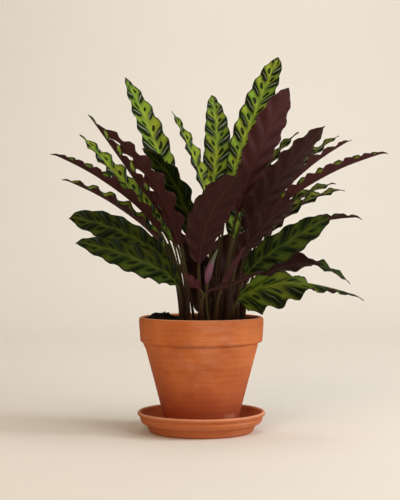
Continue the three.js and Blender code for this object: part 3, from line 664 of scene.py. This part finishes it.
def crumb_shells(count, size_low, size_high, flatness, seed):
    """Lumps lying on the soil, each a small ball of points: its rings follow a half circle, pulled out of
    round by random factors, flattened, and turned at random about the upright."""
    rng = np.random.default_rng(seed)
    distance, bearing = CRUMB_REACH * np.sqrt(rng.random(count)), rng.uniform(-math.pi, math.pi, count)
    x, y = distance * np.cos(bearing), distance * np.sin(bearing)
    size = (size_low + (size_high - size_low) * rng.random(count) ** 2)[:, None, None]
    polar = np.linspace(0.12, math.pi - 0.12, CRUMB_RINGS)[None, ::-1, None]
    around = np.linspace(0, 2 * math.pi, CRUMB_COLUMNS, endpoint=False)[None, None, :]
    rough = rng.uniform(0.7, 1.25, (count, CRUMB_RINGS, CRUMB_COLUMNS))
    stretch = rng.uniform(0.6, 1.6, (count, 1, 1))
    a = size * stretch * np.sin(polar) * np.cos(around) * rough
    b = size * np.sin(polar) * np.sin(around) * rough
    c = size * flatness * np.cos(polar) * rough
    turn = rng.uniform(0, math.pi, (count, 1, 1))
    tilt = rng.uniform(-0.6, 0.6, (count, 1, 1))
    a, c = a * np.cos(tilt) - c * np.sin(tilt), a * np.sin(tilt) + c * np.cos(tilt)
    px = x[:, None, None] + a * np.cos(turn) - b * np.sin(turn)
    py = y[:, None, None] + a * np.sin(turn) + b * np.cos(turn)
    pz = soil_top(x, y)[:, None, None] + c + 0.25 * size * flatness
    return np.stack([px, py, pz], axis=-1)


def soil_skin():
    """Points of the soil, as rings of one skin: a bottom disc, a side that follows the pot's wall, and a
    lumpy top that closes in on the axis."""
    angle = np.linspace(-math.pi, math.pi, SOIL_COLUMNS, endpoint=False)[None, :]
    bottom_z = POT_FLOOR + SOIL_LIFT
    bottom = np.array([0.5, INNER_FLOOR_RADIUS - 1.5, INNER_FLOOR_RADIUS - SOIL_GAP])[:, None]
    edge = inner_radius(SOIL_LEVEL) - SOIL_GAP
    rise = np.minimum(clods(edge * np.sin(angle), -edge * np.cos(angle)), HEAP_AT_WALL)
    top_z = SOIL_LEVEL + rise
    side_z = bottom_z + np.linspace(0.1, 1, SOIL_SIDE_RINGS)[:, None] * (top_z - bottom_z)
    share = np.linspace(0.985, 0.006, SOIL_TOP_RINGS)[:, None]
    r = share * (inner_radius(top_z) - SOIL_GAP)
    inward = smoothstep(1.0, 0.93, share)
    z = top_z * (1 - inward) + soil_top(r * np.sin(angle), -r * np.cos(angle)) * inward
    return np.concatenate([on_axis(bottom, bottom_z * np.ones_like(bottom), angle),
                           on_axis(inner_radius(side_z) - SOIL_GAP, side_z, angle), on_axis(r, z, angle)])


def soil_piece(materials):
    """The soil, with crumbs and chips of bark lying on it."""
    grids = [(soil_skin()[None], 0, False),
             (crumb_shells(CRUMBS, 0.5, 2.4, 0.8, SEED + 4), 0, False),
             (crumb_shells(CHIPS, 1.0, 3.6, 0.35, SEED + 5), 1, False)]
    return put_mesh("potting_soil_lumps", grids, materials, "potting_soil")


# Material making

def add_node(tree, kind, inputs=None, **settings):
    """A shader node: settings are its properties, and inputs gives sockets by name or number, each a
    value or the output that feeds it."""
    node = tree.nodes.new(kind)
    for name, value in settings.items():
        setattr(node, name, value)
    for key, value in (inputs or {}).items():
        if isinstance(value, bpy.types.NodeSocket):
            tree.links.new(value, node.inputs[key])
        else:
            node.inputs[key].default_value = value
    return node


def calc(tree, operation, *values):
    """The result of a Math node."""
    return add_node(tree, "ShaderNodeMath", dict(enumerate(values)), operation=operation).outputs[0]


def times(tree, first, second):
    """The product of two values."""
    return calc(tree, "MULTIPLY", first, second)


def ramp(tree, value, low, high, start=0.0, end=1.0):
    """start below low, end above high, smooth between; low may be the greater, as for a falling edge."""
    inputs = {"Value": value, "From Min": low, "From Max": high, "To Min": start, "To Max": end}
    return add_node(tree, "ShaderNodeMapRange", inputs, interpolation_type="SMOOTHSTEP").outputs[0]


def blend_colour(tree, share, first, second):
    """The first colour turned into the second by a share from 0 to 1."""
    first, second = (c if isinstance(c, bpy.types.NodeSocket) else (*c, 1) for c in (first, second))
    return add_node(tree, "ShaderNodeMix", {0: share, 6: first, 7: second}, data_type="RGBA").outputs[2]


def layered(tree, colour, layers):
    """A colour with others laid over it in turn: each layer is a share from 0 to 1 and a colour."""
    for share, over in layers:
        colour = blend_colour(tree, share, colour, over)
    return colour


def noise(tree, place, scale, detail=3.0, roughness=0.5):
    """Cloudy noise from 0 to 1."""
    inputs = {"Vector": place, "Scale": scale, "Detail": detail, "Roughness": roughness}
    return add_node(tree, "ShaderNodeTexNoise", inputs).outputs[0]


def stretched(tree, place, scale, shift=(0, 0, 0)):
    """The same place, scaled and shifted along each axis."""
    inputs = {"Vector": place, "Scale": scale, "Location": shift}
    return add_node(tree, "ShaderNodeMapping", inputs).outputs[0]


def parts_of(tree, vector):
    """The three parts of a vector."""
    return add_node(tree, "ShaderNodeSeparateXYZ", {0: vector}).outputs


def bumped(tree, height, distance):
    """A normal tilted by a height, given in shares of a distance in metres."""
    inputs = {"Height": height, "Distance": distance, "Strength": 1.0}
    return add_node(tree, "ShaderNodeBump", inputs).outputs[0]


def object_place(tree):
    """The place on the object, in metres."""
    return add_node(tree, "ShaderNodeTexCoord").outputs["Object"]


def stored(tree, name):
    """The vector stored at each vertex under a name."""
    return add_node(tree, "ShaderNodeAttribute", attribute_name=name).outputs["Vector"]


def new_group(name, inputs, outputs):
    """A shader node group with named sockets: inputs and outputs give each one's kind, and a group's
    node tree, its input sockets and its output node are handed back."""
    tree = bpy.data.node_groups.new(name, "ShaderNodeTree")
    for label, kind in inputs.items():
        tree.interface.new_socket(label, in_out="INPUT", socket_type="NodeSocket" + kind)
    for label, kind in outputs.items():
        tree.interface.new_socket(label, in_out="OUTPUT", socket_type="NodeSocket" + kind)
    return tree, tree.nodes.new("NodeGroupInput").outputs, tree.nodes.new("NodeGroupOutput")


def feed(tree, out, **values):
    """Links values to the outputs of a group, by name."""
    for name, value in values.items():
        tree.links.new(value, out.inputs[name])


def use_group(tree, group, **inputs):
    """A group placed in a material, with its own values."""
    return add_node(tree, "ShaderNodeGroup", inputs, node_tree=group).outputs


def new_material(name, viewport_colour):
    """A material with only its output node and a Principled shader: gives the material, its tree and
    the shader."""
    material = bpy.data.materials.new(name)
    material.use_nodes = True
    material.diffuse_color = (*viewport_colour, 1)
    tree = material.node_tree
    tree.nodes.clear()
    shader = tree.nodes.new("ShaderNodeBsdfPrincipled")
    end = tree.nodes.new("ShaderNodeOutputMaterial")
    tree.links.new(shader.outputs[0], end.inputs[0])
    return material, tree, shader


def dress(tree, shader, colour, roughness, normal=None, **constants):
    """Feeds a shader's colour, roughness and normal, and sets its constants on their own sockets."""
    for name, value in (("Base Color", colour), ("Roughness", roughness), ("Normal", normal)):
        if isinstance(value, bpy.types.NodeSocket):
            tree.links.new(value, shader.inputs[name])
        elif value is not None:
            shader.inputs[name].default_value = value
    for name, value in constants.items():
        shader.inputs[name.replace("_", " ")].default_value = value


# Shared effects. The side ribs lie this many metres apart.
RIB_SPACING = 0.0021


def leaf_marks_group():
    """Markings of a blade, from its wave count, its share across and its distances. A long ellipse lies
    on every whole count, from near the midrib to the margin, and a short one on every half count near
    the midrib. The highlight output, a thin line down the middle of each long ellipse, is a painted
    highlight, and Shadow, a soft patch round it, is painted shade. Midrib, Ribs and Margin follow the
    middle line, the side veins and the edges."""
    tree, given, out = new_group(
        "leaf marks", {"Place": "Vector", "Size": "Vector", "Growth": "Vector", "Softness": "Float"},
        {"Spots": "Float", "Streak": "Float", "Shadow": "Float", "Midrib": "Float", "Ribs": "Float",
         "Margin": "Float"})
    count, across, _ = parts_of(tree, given["Place"])
    distance, vein, half = parts_of(tree, given["Size"])
    side = calc(tree, "ABSOLUTE", across)
    wander = calc(tree, "SUBTRACT", noise(tree, given["Growth"], 60.0, 2.0), 0.5)
    count = calc(tree, "MULTIPLY_ADD", wander, 0.26, count)
    side_wandering = calc(tree, "MULTIPLY_ADD", wander, 0.3, side)
    uneven = calc(tree, "MULTIPLY_ADD", noise(tree, given["Growth"], 45.0, 1.0), 2.0, -1.0)

    def ellipses(offset, half_length, centre, half_reach, softness):
        """A soft ellipse for each count, moved by an offset along the blade, round a centre across it."""
        at = calc(tree, "SUBTRACT", calc(tree, "FRACT", calc(tree, "ADD", count, offset)), 0.5)
        a = calc(tree, "DIVIDE", at, half_length)
        b = calc(tree, "DIVIDE", calc(tree, "SUBTRACT", side_wandering, centre), half_reach)
        reach = calc(tree, "ADD", times(tree, a, a), times(tree, b, b))
        return ramp(tree, calc(tree, "ADD", reach, uneven), calc(tree, "ADD", 1.0, softness),
                    calc(tree, "SUBTRACT", 1.0, softness))

    large = ellipses(0.5, 0.23, 0.68, 0.52, given["Softness"])
    small = ellipses(0.0, 0.14, 0.33, 0.18, given["Softness"])
    # Painted shade round each long ellipse, and a painted highlight down its middle.
    shadow = ellipses(0.5, 0.36, 0.62, 0.75, 0.85)
    painted_highlight = ellipses(0.47, 0.03, 0.56, 0.34, 0.7)
    midrib = ramp(tree, calc(tree, "ABSOLUTE", distance), 0.0011, 0.0004)
    ribs = calc(tree, "SINE", times(tree, vein, 2 * math.pi / RIB_SPACING))
    ribs = times(tree, calc(tree, "MULTIPLY_ADD", ribs, 0.5, 0.5), ramp(tree, side, 0.02, 0.15))
    from_edge = times(tree, calc(tree, "SUBTRACT", 1.0, side_wandering), half)
    feed(tree, out, Spots=calc(tree, "MAXIMUM", large, small), Streak=painted_highlight, Shadow=shadow, Midrib=midrib,
         Ribs=ribs, Margin=ramp(tree, from_edge, 0.0022, 0.0008))
    return tree


def clay_group():
    """Fired clay: Streaks run round with the turning, Blotches are wide soft patches, Specks are fine
    grains, and Height joins them for the bump."""
    tree, given, out = new_group("fired clay", {"Place": "Vector"},
                                 {"Streaks": "Float", "Blotches": "Float", "Specks": "Float",
                                  "Height": "Float"})
    place = given["Place"]
    streaks = noise(tree, stretched(tree, place, (9, 9, 420)), 1.0, 4.0, 0.6)
    blotches = noise(tree, stretched(tree, place, (22, 22, 30), (3, 1, 2)), 1.0, 4.0, 0.55)
    specks = noise(tree, place, 1900.0, 2.0)
    grain = calc(tree, "MULTIPLY_ADD", specks, 0.45, times(tree, streaks, 0.55))
    pits = ramp(tree, noise(tree, place, 620.0, 2.0), 0.33, 0.26, 0.0, 0.6)
    feed(tree, out, Streaks=streaks, Blotches=blotches, Specks=specks,
         Height=calc(tree, "SUBTRACT", grain, pits))
    return tree


LEAF_MARKS = leaf_marks_group()
FIRED_CLAY = clay_group()


# Materials

def blade_marks(tree, place, softness):
    """The markings of a blade, from what its vertices hold."""
    return use_group(tree, LEAF_MARKS, Place=stored(tree, "blade_place"), Size=stored(tree, "blade_size"),
                     Growth=place, Softness=softness)


def dry_tip(tree):
    """A layer of dry brown over the last hundredths of a blade's length."""
    along = parts_of(tree, stored(tree, "blade_place"))[2]
    return ramp(tree, along, 0.955, 0.995), (0.030, 0.016, 0.009)


def leaf_upper_material():
    """Green in fresh and yellow patches, with near-black ellipses and margins, thin painted highlight
    lines, soft painted shade round the long ellipses and fine side ribs. The blade's tint darkens it with
    painted shade and turns it more olive, each by its own share."""
    material, tree, shader = new_material("leaf_upper", (0.2, 0.35, 0.05))
    place = object_place(tree)
    shade, olive, _ = parts_of(tree, stored(tree, "blade_painted_shade_and_tint"))
    marks = blade_marks(tree, place, calc(tree, "MULTIPLY_ADD", shade, 0.5, 0.3))
    cloudy = noise(tree, place, 130.0, 3.0)
    patches = ramp(tree, noise(tree, place, 48.0, 2.0), 0.38, 0.62)
    fresh = blend_colour(tree, cloudy, (0.125, 0.240, 0.020), (0.265, 0.385, 0.044))
    yellow = blend_colour(tree, cloudy, (0.190, 0.265, 0.016), (0.395, 0.440, 0.042))
    # The dark green of painted shade, laid over a blade by its shade.
    deep = blend_colour(tree, noise(tree, place, 26.0, 2.0), (0.010, 0.030, 0.004), (0.056, 0.060, 0.005))
    # The colour of the painted shade round each long ellipse, darker on blades in painted shade.
    around = blend_colour(tree, shade, (0.030, 0.062, 0.008), (0.005, 0.011, 0.003))
    dark = blend_colour(tree, cloudy, (0.003, 0.006, 0.002), (0.008, 0.014, 0.004))
    # A painted highlight along each long ellipse, fainter on blades in painted shade.
    painted_gloss = times(tree, marks["Streak"], calc(tree, "MULTIPLY_ADD", shade, -0.5, 0.55))
    # The pale midrib fades on blades in painted shade.
    midrib = times(tree, marks["Midrib"], calc(tree, "MULTIPLY_ADD", shade, -0.15, 0.25))
    colour = layered(tree, blend_colour(tree, patches, fresh, yellow), [
        (times(tree, olive, 0.8), (0.150, 0.130, 0.024)),
        (times(tree, shade, 0.95), deep),
        (times(tree, marks["Shadow"], 0.55), around),
        (times(tree, marks["Ribs"], 0.18), (0.03, 0.07, 0.008)),
        (times(tree, marks["Spots"], 0.96), dark),
        (painted_gloss, (0.44, 0.50, 0.36)),
        (times(tree, marks["Margin"], 0.9), (0.012, 0.018, 0.006)),
        (midrib, (0.20, 0.28, 0.08)),
        dry_tip(tree)])
    roughness = calc(tree, "MULTIPLY_ADD", marks["Spots"], -0.08, ramp(tree, cloudy, 0.3, 0.7, 0.30, 0.38))
    height = calc(tree, "MULTIPLY_ADD", noise(tree, place, 900.0, 2.0), 0.25, marks["Ribs"])
    dress(tree, shader, colour, roughness, bumped(tree, height, 0.00022), Specular_IOR_Level=0.05)
    return material


def leaf_under_material():
    """Dark maroon in soft clouds, its side ribs and midrib a little lighter. The blade's tint darkens it
    with painted shade and turns it mauve, each by its own share."""
    material, tree, shader = new_material("leaf_under", (0.12, 0.03, 0.04))
    place = object_place(tree)
    marks = blade_marks(tree, place, 0.4)
    shade, _, mauve = parts_of(tree, stored(tree, "blade_painted_shade_and_tint"))
    cloudy = noise(tree, place, 70.0, 4.0)
    colour = layered(tree, blend_colour(tree, cloudy, (0.034, 0.0090, 0.0085), (0.068, 0.0190, 0.0190)), [
        # Painted shade: blades in shade turn dark brown underneath.
        (times(tree, shade, 0.85), (0.018, 0.007, 0.004)),
        (times(tree, mauve, 0.8), (0.155, 0.040, 0.055)),
        (times(tree, marks["Ribs"], 0.25), (0.070, 0.020, 0.020)),
        (times(tree, marks["Midrib"], 0.5), (0.080, 0.028, 0.022)),
        dry_tip(tree)])
    height = calc(tree, "MULTIPLY_ADD", noise(tree, place, 1100.0, 2.0), 0.4, marks["Ribs"])
    dress(tree, shader, colour, ramp(tree, cloudy, 0.3, 0.7, 0.5, 0.62), bumped(tree, height, 0.0002),
          Specular_IOR_Level=0.1)
    return material


def leaf_stalk_material():
    """Olive stalk, reddish brown towards the soil, with fine lengthwise streaks."""
    material, tree, shader = new_material("leaf_stalk", (0.1, 0.07, 0.03))
    along = parts_of(tree, stored(tree, "blade_place"))[2]
    place = object_place(tree)
    streaks = noise(tree, stretched(tree, place, (700, 700, 30)), 1.0, 3.0)
    olive = blend_colour(tree, streaks, (0.026, 0.019, 0.006), (0.080, 0.058, 0.020))
    brown = blend_colour(tree, streaks, (0.016, 0.006, 0.003), (0.050, 0.022, 0.010))
    wander = calc(tree, "MULTIPLY_ADD", noise(tree, place, 25.0, 2.0), 0.6, along)
    colour = blend_colour(tree, ramp(tree, wander, -0.45, 0.25), brown, olive)
    dress(tree, shader, colour, 0.5, bumped(tree, streaks, 0.0002), Specular_IOR_Level=0.08)
    return material


def roll_material():
    """The rolled blade: mauve outside, grey green in its upper part, with fine lengthwise streaks."""
    material, tree, shader = new_material("roll_outside", (0.4, 0.25, 0.3))
    share = parts_of(tree, stored(tree, "blade_place"))[0]
    place = object_place(tree)
    streaks = noise(tree, stretched(tree, place, (900, 900, 60)), 1.0, 3.0)
    mauve = blend_colour(tree, streaks, (0.09, 0.025, 0.055), (0.21, 0.075, 0.13))
    grey_green = blend_colour(tree, streaks, (0.05, 0.06, 0.035), (0.12, 0.135, 0.08))
    colour = blend_colour(tree, ramp(tree, share, 0.5, 0.72), mauve, grey_green)
    dress(tree, shader, colour, 0.45, bumped(tree, streaks, 0.0002))
    return material


def clay_material(name, light, deep, red, blooms, inner_shade_radius, highlight_from):
    """Unglazed clay from two tones in streaks and blotches, darker and redder low down, in part painted
    shade, with specks. Each bloom of salts is a place, a radius and a strength. Inside the shade radius
    the top of the wall gets painted shade, and above the highlight height its top edge gets a painted
    highlight in patches. All are in metres."""
    material, tree, shader = new_material(name, light)
    place = object_place(tree)
    clay = use_group(tree, FIRED_CLAY, Place=place)
    x, y, height = parts_of(tree, place)
    tone = calc(tree, "MULTIPLY_ADD", clay["Blotches"], 0.78, times(tree, clay["Streaks"], 0.22))
    # Darker and redder low down, in part painted shade.
    low = calc(tree, "MULTIPLY_ADD", clay["Blotches"], 0.03, height)
    layers = [(ramp(tree, low, 0.105, 0.025), red),
              (ramp(tree, clay["Specks"], 0.60, 0.72, 0.0, 0.5), (0.62, 0.36, 0.22)),
              (ramp(tree, clay["Specks"], 0.36, 0.28, 0.0, 0.5), (0.20, 0.07, 0.03))]
    broken = ramp(tree, noise(tree, stretched(tree, place, (45, 45, 130)), 1.0, 3.0), 0.35, 0.65)
    for centre, radius, strength in blooms:
        from_centre = add_node(tree, "ShaderNodeVectorMath", {0: place, 1: centre}, operation="DISTANCE")
        patch = ramp(tree, from_centre.outputs["Value"], radius, radius * 0.2)
        layers.append((times(tree, times(tree, patch, broken), strength), (0.74, 0.42, 0.28)))
    from_axis = calc(tree, "SQRT", calc(tree, "ADD", times(tree, x, x), times(tree, y, y)))
    # Painted shade on the top of the wall inside the pot.
    painted_inner_shade = times(tree, ramp(tree, from_axis, inner_shade_radius, inner_shade_radius - 0.002, 0.0, 0.8),
                 ramp(tree, height, 0.113, 0.120))
    # A painted highlight in patches on the topmost edge.
    painted_top_highlight = times(tree, ramp(tree, height, highlight_from - 0.001, highlight_from, 0.0, 0.9), clay["Blotches"])
    layers += [(painted_inner_shade, (0.045, 0.016, 0.008)), (painted_top_highlight, (0.74, 0.40, 0.24))]
    colour = layered(tree, blend_colour(tree, ramp(tree, tone, 0.34, 0.64), deep, light), layers)
    roughness = ramp(tree, clay["Specks"], 0.3, 0.7, 0.78, 0.9)
    dress(tree, shader, colour, roughness, bumped(tree, clay["Height"], 0.0005), Specular_IOR_Level=0.35)
    return material


def soil_material(name, dark, light):
    """Damp soil or bark: near black and brown in clumps, rough, with wet glints."""
    material, tree, shader = new_material(name, light)
    place = object_place(tree)
    clumps = noise(tree, place, 420.0, 4.0, 0.6)
    colour = blend_colour(tree, ramp(tree, clumps, 0.35, 0.7), dark, light)
    height = noise(tree, place, 800.0, 4.0, 0.7)
    dress(tree, shader, colour, ramp(tree, height, 0.3, 0.7, 0.75, 0.95), bumped(tree, height, 0.0012),
          Specular_IOR_Level=0.1)
    return material


def sweep_material():
    """Smooth warm paper."""
    material, tree, shader = new_material("paper_sweep", (0.86, 0.8, 0.7))
    fibres = noise(tree, object_place(tree), 9.0, 2.0)
    dress(tree, shader, blend_colour(tree, fibres, (0.78, 0.735, 0.67), (0.795, 0.75, 0.685)), 0.9)
    return material


# Scene

def build_plant():
    """Every piece of the object, each in place of its own node."""
    blade = [leaf_upper_material(), leaf_under_material(), leaf_stalk_material()]
    for number, leaf in enumerate(LEAVES):
        leaf_piece(number, leaf, blade)
    spear_piece([roll_material(), blade[STALK]])
    pot_blooms = [((0.036, -0.034, 0.022), 0.014, 0.4), ((-0.008, -0.058, 0.062), 0.009, 0.15),
                  ((0.02, -0.07, 0.126), 0.05, 0.16), ((-0.006, -0.07, 0.09), 0.04, 0.12)]
    pot_piece(clay_material("terracotta", light=(0.56, 0.150, 0.034), deep=(0.43, 0.095, 0.019),
                            red=(0.31, 0.040, 0.008), blooms=pot_blooms,
                            inner_shade_radius=0.0724, highlight_from=0.1425))
    saucer_piece(clay_material("saucer_clay", light=(0.66, 0.226, 0.076), deep=(0.54, 0.154, 0.046),
                               red=(0.49, 0.130, 0.038), blooms=[((0.05, -0.055, 0.012), 0.02, 0.15)],
                               inner_shade_radius=0.0, highlight_from=0.0245))
    soil_piece([soil_material("damp_soil", (0.003, 0.002, 0.0015), (0.012, 0.008, 0.005)),
                soil_material("bark_chips", (0.02, 0.010, 0.006), (0.075, 0.042, 0.022))])


# Paper sweep, in metres
SWEEP_HALF_WIDTH = 4.4
SWEEP_COLUMNS = 9
SWEEP_FLOOR = (-4.5, -1.5, 0.0, 0.9)
BEND_FROM = 1.5
BEND_RADIUS = 0.9
SWEEP_TOP = 4.5


def build_sweep():
    """One sheet of paper: a flat floor, a quarter circle behind, and an upright wall."""
    bend = np.linspace(0, math.pi / 2, 25)
    floor_z = np.zeros(len(SWEEP_FLOOR))
    y = np.concatenate([SWEEP_FLOOR, BEND_FROM + BEND_RADIUS * np.sin(bend), [BEND_FROM + BEND_RADIUS]])
    z = np.concatenate([floor_z, BEND_RADIUS - BEND_RADIUS * np.cos(bend), [SWEEP_TOP]])
    x = np.linspace(-SWEEP_HALF_WIDTH, SWEEP_HALF_WIDTH, SWEEP_COLUMNS)
    grid_x, grid_y = np.meshgrid(x, y)
    points = np.stack([grid_x, grid_y, np.broadcast_to(z[:, None], grid_x.shape)], axis=-1)
    rings, columns, _ = points.shape
    a = (np.arange(rings - 1)[:, None] * columns + np.arange(columns - 1)[None, :]).ravel()
    faces = np.stack([a, a + 1, a + 1 + columns, a + columns], axis=-1)
    mesh = bpy.data.meshes.new("paper_sweep")
    mesh.from_pydata(points.reshape(-1, 3), [], faces.tolist())
    mesh.shade_smooth()
    mesh.materials.append(sweep_material())
    sweep_sheet = bpy.data.objects.new("paper_sweep", mesh)
    bpy.context.scene.collection.objects.link(sweep_sheet)


def aimed(name, data, place, target):
    """An object at a place, turned so that its -Z axis points at the target."""
    thing = bpy.data.objects.new(name, data)
    bpy.context.scene.collection.objects.link(thing)
    thing.location = place
    back = np.array(place, float) - np.array(target, float)
    yaw = math.atan2(back[0], -back[1])
    pitch = math.atan2(math.hypot(back[0], back[1]), back[2])
    thing.rotation_euler = (pitch, 0, yaw)
    return thing


def area_light(name, place, target, breadth, power, colour, spread=180):
    """A square soft light aimed at a target, whose beam is spread degrees wide."""
    lamp = bpy.data.lights.new(name, "AREA")
    lamp.size, lamp.energy, lamp.color = breadth, power, colour
    lamp.spread = math.radians(spread)
    return aimed(name, lamp, place, target)


def build_lights():
    """A low light from the right, which draws the long shadow, a key from the upper right and front, a
    warm one from the left front, a wide soft one overhead, one on the backdrop alone, and little light
    from all round."""
    area_light("side_light", (2.0, -0.5, 1.1), (0, 0, 0.15), 0.6, 29, (0.93, 0.98, 1.0))
    area_light("key_light", (1.6, -1.8, 1.5), (0, 0, 0.15), 1.2, 20, (0.94, 0.98, 1.0))
    area_light("front_light", (-0.9, -2.3, 1.5), (0, 0, 0.15), 1.6, 31, (1.0, 0.84, 0.65))
    area_light("top_light", (0.6, -0.2, 2.5), (0.2, 0.0, 0), 2.0, 22, (1.0, 0.93, 0.84))
    area_light("backdrop_light", (0.35, 0.9, 2.6), (-0.1, 2.2, 0.6), 1.7, 12, (0.97, 0.985, 1.0), 112)
    world = bpy.context.scene.world or bpy.data.worlds.new("room")
    bpy.context.scene.world = world
    world.use_nodes = True
    world.node_tree.nodes["Background"].inputs["Color"].default_value = (1.0, 0.74, 0.46, 1)
    world.node_tree.nodes["Background"].inputs["Strength"].default_value = 0.11


def build_camera():
    """The camera, where the photograph was taken from."""
    lens = bpy.data.cameras.new("photo_camera")
    lens.lens, lens.sensor_width = FOCAL_LENGTH_MM, SENSOR_MM
    camera = bpy.data.objects.new("photo_camera", lens)
    bpy.context.scene.collection.objects.link(camera)
    camera.location = (VIEW_SIDE, -VIEW_DISTANCE, VIEW_HEIGHT)
    camera.rotation_euler = (math.pi / 2 - VIEW_DOWN, 0, 0)
    bpy.context.scene.camera = camera


build_plant()
build_sweep()
build_lights()
build_camera()
bpy.context.scene.view_settings.view_transform = "Standard"
